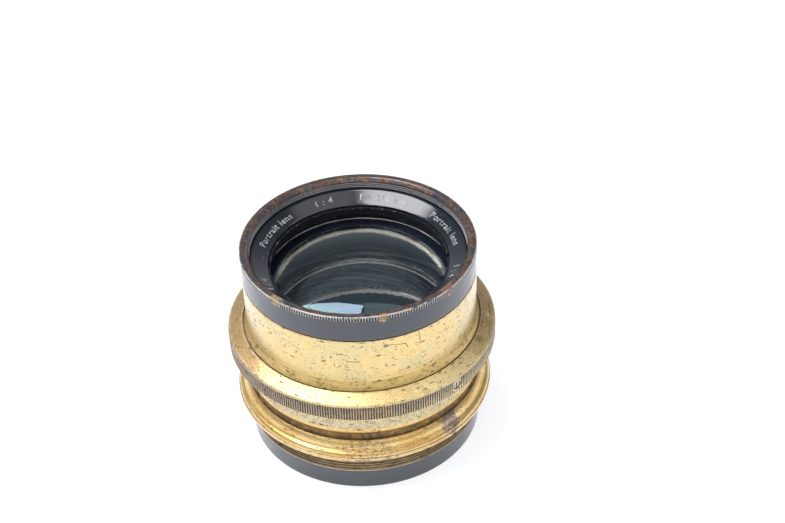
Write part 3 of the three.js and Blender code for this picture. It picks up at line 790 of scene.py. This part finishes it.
def painted_edge(name, edge, clear, seat, rim, material, crust=None):
    """The paint on a glass's edge and ground seat, as it is seen through the glass."""
    into = 1 if rim > seat else -1
    outer_r, inner_r = edge - 0.01, edge - PAINT
    back, front = seat + into * 0.02, seat + into * PAINT
    wall = []
    if crust:
        middle = seat + into * crust
        wall = [Point(inner_r, middle - into * CRUST_WIDTH), Point(inner_r, middle, wear=1.0),
                Point(inner_r, middle + into * CRUST_WIDTH)]
    outline = [Point(clear + 0.1, back), Point(clear + 0.1, front), Point(inner_r, front), *wall,
               Point(inner_r, rim - into * 0.1), Point(outer_r, rim - into * 0.1),
               Point(outer_r, back)]
    mesh = turned_mesh(name, outline[::-into], INNER_SEGMENTS)
    piece(name, mesh, material, [])


# ---- Cells ----

RECESS_R = 34.9
RIM_CHAMFER = 1.1
RIM_WEAR = 0.93
LIP_TEETH = 272
LIP_KNURL = 1.5  # height
LIP_TOOTH = 0.24  # depth
LIP_STEP = 0.15  # how far the knurl stands proud of the band
INNER_PITCH = 0.7
INNER_THREAD = 0.36  # depth
LEDGE = 0.4  # how far a ledge stands outside the polished surface that rests on it
# Outlines hidden in the barrel, and round the rear glass, as radius and height
FRONT_SPIGOT = ((32.8, 55.0), (36.2, 56.0))
REAR_SPIGOT = ((35.9, 14.0), (31.6, 15.0))
REAR_MOUTH = ((29.9, 8.4), (29.9, 3.6), (33.5, 3.6), (33.5, 1.0))
REAR_MOUTH_R = 34.5


def pair_seat(group):
    hollow = glass_heights(group)[1]
    return hollow + group["inwards"] * sag(group["hollow"], group["clear"])


def meniscus_seat(group):
    meniscus = glass_heights(group)[2]
    return meniscus + group["inwards"] * sag(group["meniscus"][0], group["inner_clear"])


def cell_bore(group, outer_end, inner_end):
    """The outline of the stepped bore that a group sits in, from its outer end to its inner."""
    bore = group["edge"] + GAP
    ledge = group["inner_clear"] + LEDGE
    inner_bore = group["inner_edge"] + GAP
    pair = pair_seat(group) + group["inwards"] * GAP
    single = meniscus_seat(group) - group["inwards"] * GAP
    return [(bore, outer_end), (bore, pair), (ledge, pair), (ledge, single), (inner_bore, single),
            (inner_bore, inner_end)]


def front_cell(material):
    name_seat = NAME_SEAT - GAP
    outline = [
        (FRONT_SPIGOT[1][0], BAND_FOOT), (LIP_R - LIP_STEP, BAND_FOOT),
        (LIP_R - LIP_STEP, TOP - LIP_KNURL - 0.1, 0.05), (LIP_R, TOP - LIP_KNURL, 0.05),
        (LIP_R, TOP, 0.3), (RECESS_R + RIM_CHAMFER, TOP, 0.2), (RECESS_R, TOP - RIM_CHAMFER),
        (RECESS_R, name_seat), *cell_bore(FRONT_GROUP, name_seat, CELL_FOOT),
        (FRONT_SPIGOT[0][0], CELL_FOOT), *FRONT_SPIGOT,
    ]
    points = soften(outline)
    set_wear_and_shade(points, (RECESS_R - 0.01, LIP_R - 0.4), (TOP - RIM_CHAMFER - 0.3, TOP), RIM_WEAR)
    points = cut_wall(points, LIP_R, TOP - LIP_KNURL + 0.05, TOP - 0.31, tooth=LIP_TOOTH)
    low, high = NAME_TOP + 0.3, TOP - RIM_CHAMFER - 0.1
    points = cut_wall(points, RECESS_R, low, high, thread=-INNER_THREAD, pitch=INNER_PITCH)
    mesh = turned_mesh("front_cell", points, LIP_TEETH, LIP_TEETH, INNER_PITCH)
    piece("front_cell", mesh, material, ["front_cell_mount"])


NAME_INNER_R = 29.2
NAME_INNER_TOP = 64.6
NAME_LIP = 1.1  # how far it reaches in over the glass
NAME_LIP_THICKNESS = 0.4


def name_ring(material):
    lip_foot = NAME_INNER_TOP - NAME_LIP_THICKNESS
    outline = [
        (NAME_R, NAME_TOP, 0.1), (NAME_R, NAME_SEAT), (NAME_INNER_R + NAME_LIP, NAME_SEAT),
        (NAME_INNER_R + NAME_LIP, lip_foot), (NAME_INNER_R, lip_foot, 0.05),
        (NAME_INNER_R, NAME_INNER_TOP, 0.12),
    ]
    mesh = turned_mesh("name_ring_face", soften(outline), SEGMENTS)
    piece("name_ring_face", mesh, material, ["name_ring"])


LETTER_HEIGHT = 2.3
FONT_SIZE = 1.4 * LETTER_HEIGHT
LETTER_INSET = 1.9  # from the ring's inner edge to the foot of the letters
LETTERING = ("Portrait lens", "1 : 4", "f = 210 mm")  # nothing of any maker's
LETTERING_PLACES = (150, 110, 72, 22, -20, -60, -112, -156)  # their middles, degrees round the axis
LETTER_WEIGHT = 0.04


def lettering(material):
    """The lens's kind, aperture and focal length, engraved and filled, all round the name ring."""
    slope = math.atan2(NAME_TOP - NAME_INNER_TOP, NAME_R - NAME_INNER_R)
    reading_r = NAME_INNER_R + (LETTER_INSET + LETTER_HEIGHT / 2) * math.cos(slope)
    vertices = []
    faces = []
    for i, place in enumerate(LETTERING_PLACES):
        data = bpy.data.curves.new("letters", "FONT")
        data.body = LETTERING[i % len(LETTERING)]
        data.size = FONT_SIZE
        data.space_character = 1.15
        data.align_x = "CENTER"
        data.extrude = 0.02
        data.offset = LETTER_WEIGHT
        flat = evaluated_mesh(placed("letters", data))
        middle = math.radians(place)
        first = len(vertices)
        for v in flat.vertices:
            angle = middle - v.co.x / reading_r
            along = LETTER_INSET + v.co.y
            r = NAME_INNER_R + along * math.cos(slope) - v.co.z * math.sin(slope)
            z = NAME_INNER_TOP + along * math.sin(slope) + v.co.z * math.cos(slope)
            vertices.append((r * math.cos(angle) * MM, r * math.sin(angle) * MM, z * MM))
        faces += [tuple(first + k for k in p.vertices) for p in flat.polygons]
    mesh = new_mesh("name_ring_lettering", vertices, faces)
    piece("name_ring_lettering", mesh, material, [])


SPANNER_SLOT = (1.6, 0.7)  # width and depth


def retaining_ring(place, bore, material, outer_face):
    """A ring, made without its thread, with two spanner slots in its outer face, which is up (1) or down
    (-1).
    """
    name = place + "_retaining"
    low, high, r = extent(name + "_ring")
    outline = [(bore, low), (r, low), (r, high), (bore, high)]
    mesh = turned_mesh(name, soften(outline, 0.12, 0.5), INNER_SEGMENTS)
    face = high if outer_face > 0 else low
    half_width, depth = SPANNER_SLOT[0] / 2, SPANNER_SLOT[1]
    bottom, top = sorted((face - outer_face * depth, face + outer_face))
    mesh = carved(mesh, brick((-r - 1, -half_width, bottom), (r + 1, half_width, top)))
    piece(name, mesh, material, [name + "_ring"])


def rear_cell(material):
    outline = [
        (REAR_MOUTH_R, REAR_FOOT), (REAR_R, REAR_FOOT, 0.3), (REAR_R, REAR_BAND_TOP),
        (REAR_SPIGOT[0][0], REAR_BAND_TOP), *REAR_SPIGOT, (REAR_SPIGOT[1][0], REAR_TOP),
        *cell_bore(REAR_GROUP, REAR_MOUTH[0][1], REAR_TOP)[::-1], *REAR_MOUTH,
    ]
    mesh = turned_mesh("rear_cell", soften(outline), SEGMENTS)
    piece("rear_cell", mesh, material, ["rear_cell_mount"])


# ---- Barrel ----

TUBE_R = 37.9
TUBE_BORE_R = 36.5
COVE_HEIGHT = 4.0
# Wear value given to the cove: painted shade and warm reflected light from the ring, with some grime
COVE_SHADE_AND_GRIME = -0.45
COVE_LEDGE = 0.15  # upright part below the cove


def tube(material):
    foot = TUBE_FOOT + COVE_LEDGE
    hollow = (FOOT_R - TUBE_R) / (4 * COVE_HEIGHT)  # so that the cove runs smoothly into the wall
    outline = [(TUBE_BORE_R, TUBE_TOP), (TUBE_BORE_R, TUBE_FOOT), (FOOT_R, TUBE_FOOT)]
    outline += arc((FOOT_R, foot), (TUBE_R, foot + COVE_HEIGHT), -hollow)
    outline += [(TUBE_R, TUBE_TOP)]
    points = soften(outline)
    set_wear_and_shade(points, (TUBE_R + 0.02, FOOT_R), (foot, foot + COVE_HEIGHT), COVE_SHADE_AND_GRIME)
    mesh = turned_mesh("barrel_tube", points, SEGMENTS)
    piece("barrel_tube", mesh, material, ["upper_barrel"])


LOWER_R = 39.2  # between the groove and the knurled ring
GROOVE = (21.4, 23.6, 26.0)  # foot and top of its floor, and top of the arc above
GROOVE_R = 38.4
SEAT = 15.4  # of the mounting ring against the shoulder
RIM_TOP = 16.6
THREAD_R = 39.6
THREAD_PITCH = 1.1
THREAD_DEPTH = 0.6
RELIEF_HEIGHT = 1.1  # from the end of the thread to the seat
RELIEF_R = 38.9
SHOULDER = 34.8  # ledge under the knurled ring
JOURNAL = (38.2, 42.0)  # radius and top of the ring's bearing
CHAMBER = (36.2, 39.4)  # radius and top of the iris chamber; the neck is as wide outside
NECK_BORE_R = 34.6
# The shoulder's arcs from its rim up to the groove: where each ends, and its bulge
MOULDING = (((41.3, 18.25), 0.18), ((40.6, 18.95), -0.12), ((39.15, GROOVE[0]), 0.13))


def mount(material):
    """The barrel's lower half, with its moulded shoulder and the thread that screws into the camera."""
    outline = [
        (CHAMBER[0], THREAD_FOOT), (THREAD_R, THREAD_FOOT), (THREAD_R, SEAT - RELIEF_HEIGHT - 0.3),
        (RELIEF_R, SEAT - RELIEF_HEIGHT), (RELIEF_R, SEAT), (RIM_R, SEAT), (RIM_R, RIM_TOP, 0.1),
        (RIM_R - 0.25, RIM_TOP + 0.1),
    ]
    for end, bulge in MOULDING:
        outline += arc(outline[-1], end, bulge)[1:]
    outline += [(GROOVE_R, GROOVE[0])]
    outline += arc((GROOVE_R, GROOVE[1]), (LOWER_R, GROOVE[2]), 0.12)
    outline += [
        (LOWER_R, SHOULDER), (JOURNAL[0], SHOULDER), JOURNAL, (CHAMBER[0], JOURNAL[1]),
        (CHAMBER[0], NECK_TOP), (NECK_BORE_R, NECK_TOP), (NECK_BORE_R, CHAMBER[1]), CHAMBER,
    ]
    points = soften(outline)
    set_wear_and_shade(points, (GROOVE_R - 0.01, LOWER_R - 0.1), (GROOVE[0] - 0.05, GROOVE[1] + 0.1), -1.0)
    set_wear_and_shade(points, (GROOVE_R, LOWER_R - 0.05), (GROOVE[1] + 0.1, GROOVE[2] - 0.2), -0.4)
    # Painted shade: the shadowed relief between the rim and the thread is made dark
    set_wear_and_shade(points, (RELIEF_R - 0.01, THREAD_R + 0.01), (SEAT - RELIEF_HEIGHT - 0.4, SEAT), -1.0)
    low, high = THREAD_FOOT + 0.3, SEAT - RELIEF_HEIGHT - 0.5
    points = cut_wall(points, THREAD_R, low, high, thread=THREAD_DEPTH, pitch=THREAD_PITCH)
    mesh = turned_mesh("mount_body", points, SEGMENTS, pitch=THREAD_PITCH)
    piece("mount_body", mesh, material, ["mount_barrel"])


# ---- Knurled ring and its drive screw ----

RING_TEETH = 328
RING_TOOTH = 0.24  # depth
KNURL_TOP = 40.3
RING_MOUTH_R = 39.3
RING_BORE_R = 38.55
RING_STEP = 41.7  # where the bore widens to the mouth
RING_BEVEL = 0.5
SCREW_R = 1.3
SCREW_HOLE_R = 1.6
SCREW_ANGLE = -49
SCREW_SEGMENTS = 48
SCREW_SLOT = (0.5, 0.5)  # width and depth
SCREW_INNER_R = 34.3
SCREW_OUTER_R = 43.8


def screw_height():
    low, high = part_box("aperture_drive_screw")
    return (low.z + high.z) / 2 / MM


def knurled_ring(material):
    outline = [
        (RING_BORE_R, RING_FOOT), (RING_R, RING_FOOT, 0.12), (RING_R, KNURL_TOP, 0.1),
        (RING_R - RING_BEVEL, KNURL_TOP + RING_BEVEL, 0.1), (RING_MOUTH_R, RING_TOP, 0.2),
        (RING_MOUTH_R, RING_STEP), (RING_BORE_R, RING_STEP),
    ]
    points = soften(outline)
    points = cut_wall(points, RING_R, RING_FOOT + 0.15, KNURL_TOP - 0.12, tooth=RING_TOOTH)
    mesh = turned_mesh("knurled_ring", points, RING_TEETH, RING_TEETH)
    hole = rod(SCREW_HOLE_R, RING_BORE_R - 1, RING_R + 1, SCREW_ANGLE, screw_height())
    piece("knurled_ring", carved(mesh, hole), material, ["aperture_ring"],
          "aperture_ring")


def drive_screw(material):
    """The slotted screw that joins the knurled ring to the iris through a slot in the barrel."""
    outline = [(0, SCREW_INNER_R), (SCREW_R, SCREW_INNER_R), (SCREW_R, SCREW_OUTER_R),
               (0, SCREW_OUTER_R)]
    width, depth = SCREW_SLOT
    mesh = turned_mesh("drive_screw", soften(outline, 0.12, 0.3), SCREW_SEGMENTS, closed=False)
    slot = brick((-2, -width / 2, SCREW_OUTER_R - depth), (2, width / 2, SCREW_OUTER_R + 1))
    mesh = carved(mesh, slot)
    mesh.transform(along_radius(SCREW_ANGLE, screw_height()))
    piece("drive_screw", mesh, material, ["aperture_drive_screw"], "aperture_ring")


# ---- Iris ----

BLADE_COUNT = 12
BLADE_FOOT = 30.1
BLADE_SPAN = 134  # degrees from pivot pin to drive pin
BLADE_RISE = 0.038  # mm for each degree
BLADE_THICKNESS = 0.12
BLADE_STEP = 2  # degrees
# Half a blade's outline: degrees from the nearer pin, and the inner and outer radius there
BLADE_OUTLINE = ((-3.6, 31.9, 33.3), (-1.9, 30.4, 34.3), (1.2, 28.2, 34.5), (5.0, 26.3, 34.5))
PIN_CIRCLE_R = 32.6
PIN_R = 0.6
PIN_FOOT = 28.5
PIN_TOP = 37.0
PIN_HEAD = (0.85, 0.1)  # radius and height of the riveted end
PIN_SEGMENTS = 24


def blade_mesh(name, turn, bottom):
    """A thin crescent that climbs as it goes round, with a pin at each end."""
    past = -BLADE_OUTLINE[0][0]
    ends, inner, outer = zip(*BLADE_OUTLINE)
    far_ends = [BLADE_SPAN - end for end in ends]
    angles = sorted({*ends, *range(0, BLADE_SPAN + 1, BLADE_STEP), *far_ends})
    vertices = []
    for angle in angles:
        from_pin = min(angle, BLADE_SPAN - angle)
        height = bottom + BLADE_RISE * (angle + past)
        for r in (np.interp(from_pin, ends, inner), np.interp(from_pin, ends, outer)):
            for z in (height, height + BLADE_THICKNESS):
                vertices.append([v * MM for v in at(angle + turn, z, r)])
    faces = []
    for i in range(len(angles) - 1):
        a, b = 4 * i, 4 * i + 4
        faces += [(a, b, b + 2, a + 2), (a + 1, a + 3, b + 3, b + 1),
                  (a + 2, b + 2, b + 3, a + 3), (a, a + 1, b + 1, b)]
    last = len(vertices) - 4
    faces += [(0, 2, 3, 1), (last, last + 1, last + 3, last + 2)]
    sheet_top = bottom + BLADE_RISE * past + BLADE_THICKNESS
    drive_foot = sheet_top + BLADE_RISE * BLADE_SPAN - BLADE_THICKNESS / 2
    pins = (
        (turn, [(0, PIN_FOOT), (PIN_R, PIN_FOOT), (PIN_R, sheet_top), (PIN_HEAD[0], sheet_top),
                (PIN_HEAD[0], sheet_top + PIN_HEAD[1]), (0, sheet_top + PIN_HEAD[1])]),
        (turn + BLADE_SPAN, [(0, drive_foot), (PIN_R, drive_foot), (PIN_R, PIN_TOP), (0, PIN_TOP)]),
    )
    for angle, outline in pins:
        pin = turned_mesh("pin", soften(outline, 0.03, 0.1), PIN_SEGMENTS, closed=False)
        x, y, _ = at(angle, 0, PIN_CIRCLE_R)
        first = len(vertices)
        vertices += [(v.co.x + x * MM, v.co.y + y * MM, v.co.z) for v in pin.vertices]
        faces += [tuple(first + k for k in p.vertices) for p in pin.polygons]
    return new_mesh(name, vertices, faces)


def iris(blade_finish, ring_finish):
    for i in range(BLADE_COUNT):
        node = f"iris_blade_{i + 1:02d}"
        mesh = blade_mesh(node + "_sheet", 360 * i / BLADE_COUNT, BLADE_FOOT)
        piece(node + "_sheet", mesh, blade_finish, [node], node)
    for node, outline, bright_corner in iris_rings():
        points = soften(outline, 0.3, 0.45)
        for p in points:
            p.wear = float(math.dist((p.r, p.z), bright_corner) < RUBBED_REACH)
        mesh = turned_mesh(node + "_body", points, INNER_SEGMENTS)
        body = "aperture_ring" if node == "iris_rotor_ring" else "barrel"
        piece(node + "_body", mesh, ring_finish, [node], body)


ROTOR_BORE_R = 25.9
ROTOR_FLANGE_TOP = 37.2
ROTOR_RIM_R = 34.0
FIXED_RINGS = (("iris_pivot_ring", 26.3), ("iris_retaining_ring", 32.3))  # and their bores
RUBBED_REACH = 0.55  # how far round a bright corner the black is rubbed off


def iris_rings():
    """The rings above and below the blades, as nodes, outlines and the corner that is rubbed bright."""
    foot, top, r = extent("iris_rotor_ring")
    rotor = [(ROTOR_BORE_R, foot), (r, foot), (r, top), (ROTOR_RIM_R, top),
             (ROTOR_RIM_R, ROTOR_FLANGE_TOP), (ROTOR_BORE_R, ROTOR_FLANGE_TOP),
             (ROTOR_BORE_R, foot + 0.5)]
    rings = [("iris_rotor_ring", rotor, rotor[0])]
    for node, bore in FIXED_RINGS:
        foot, top, r = extent(node)
        rings.append((node, [(bore, foot), (r, foot), (r, top), (bore, top)], (bore, top)))
    return rings


# ---- The lens ----

# Patches: angle, height and radius of the middle, how far they reach, the share of it that is
# covered, and the colour. Scratches: their two ends and their width.
BLACK_CHIPS = (
    (-134, 71.3, 36.8, 2.4, 0.4, OCHRE),
    (-80.4, 70.2, 38.0, 1.5, 0.5, OCHRE),
    (-44, 71.0, 35.6, 3.0, 0.5, COPPER),
    (-120.5, 7.5, 38.8, 0.7, 1.0, DARK_BLACK),
)
TUBE_SCRATCHES = (
    ((-79, 59.3, 37.9), (-70, 58.2, 37.9), 0.16),
    ((-70, 58.2, 37.9), (-69, 56.6, 37.9), 0.14),
    ((-98, 53.8, 37.9), (-92, 53.6, 37.9), 0.15),
    ((-63, 61.0, 37.9), (-62.4, 56.6, 37.9), 0.12),
    ((-128, 57.0, 37.9), (-121, 55.2, 37.9), 0.10),
    ((-40, 52.0, 37.9), (-33, 53.5, 37.9), 0.10),
    ((60, 55.0, 37.9), (76, 53.0, 37.9), 0.12),
)
SHOULDER_TARNISH = (
    (-49, 20.0, 41.2, 4.2, 0.5, PLUM),
    (-28, 23.5, 39.2, 2.2, 0.5, PLUM),
    (-90, 18.2, 41.8, 8.0, 0.15, COPPER),
    (150, 20.0, 41.2, 6.0, 0.5, PLUM),
)
RING_PAINTED_LIGHT = (  # painted light: the lamp-facing front of the ring's top in lighter gold, with a painted highlight at its front right
    (-82, 41.5, 41.5, 43.0, 1.0, PAINTED_LIGHT_GOLD),
    (-50, 41.5, 41.5, 13.0, 0.9, PAINTED_HIGHLIGHT_GOLD),
)


def build():
    black = lacquer("black_lacquer", patches=BLACK_CHIPS)
    inside = blackened("blackened_brass")
    paint = edge_paint()
    front_cell(black)
    name_ring(lacquer("name_ring_black", -0.8, rough=(0.10, 0.17), coat=0.0, shade=0.5, bore=20.0))
    lettering(letter_fill())
    bright = blackened("rubbed_brass", RUBBED, 0.5)
    retaining = blackened("retaining_brass", DULL_RUBBED, 0.22)
    retaining_ring("front", 28.5, retaining, 1)
    retaining_ring("front_inner", 24.6, inside, -1)
    inner_glass = optical_glass("inner_glass", TOP, TOP + 1)
    glasses(FRONT_GROUP, optical_glass("front_glass", 54.0, 58.0), inner_glass, paint)
    glasses(REAR_GROUP, optical_glass("rear_glass", 14.0, 10.0), inner_glass, paint)
    retaining_ring("rear", 26.4, retaining, -1)
    retaining_ring("rear_inner", 23.0, inside, 1)
    rear_cell(black)
    tube(brass("tube_brass", PALE_BRASS, BRASS, BRONZE, BROWN, speck_share=0.7, grain=0.35, tarnish=0.1,
               scratches=TUBE_SCRATCHES, coat=1.0))
    mount(brass("mount_brass", BRASS, DEEP_BRASS, ROSE, THREAD_BRASS, speck_share=0.5, grain=0.6,
                tarnish=0.35, patches=SHOULDER_TARNISH, bare_above=26.0))
    knurled_ring(brass("ring_brass", BRONZE, BRONZE, ROSE, TAUPE, speck_share=0.8, grain=0.6,
                       tarnish=0.3, rough=(0.46, 0.56), coat=0.25, patches=RING_PAINTED_LIGHT))
    drive_screw(steel("screw_steel", (0.46, 0.44, 0.46), (0.64, 0.61, 0.63), (0.45, 0.6)))
    iris(steel("blade_steel", (0.12, 0.125, 0.14), (0.21, 0.205, 0.21), (0.4, 0.55)), bright)


make_camera()
make_world()
make_lights()
make_floor()
build()
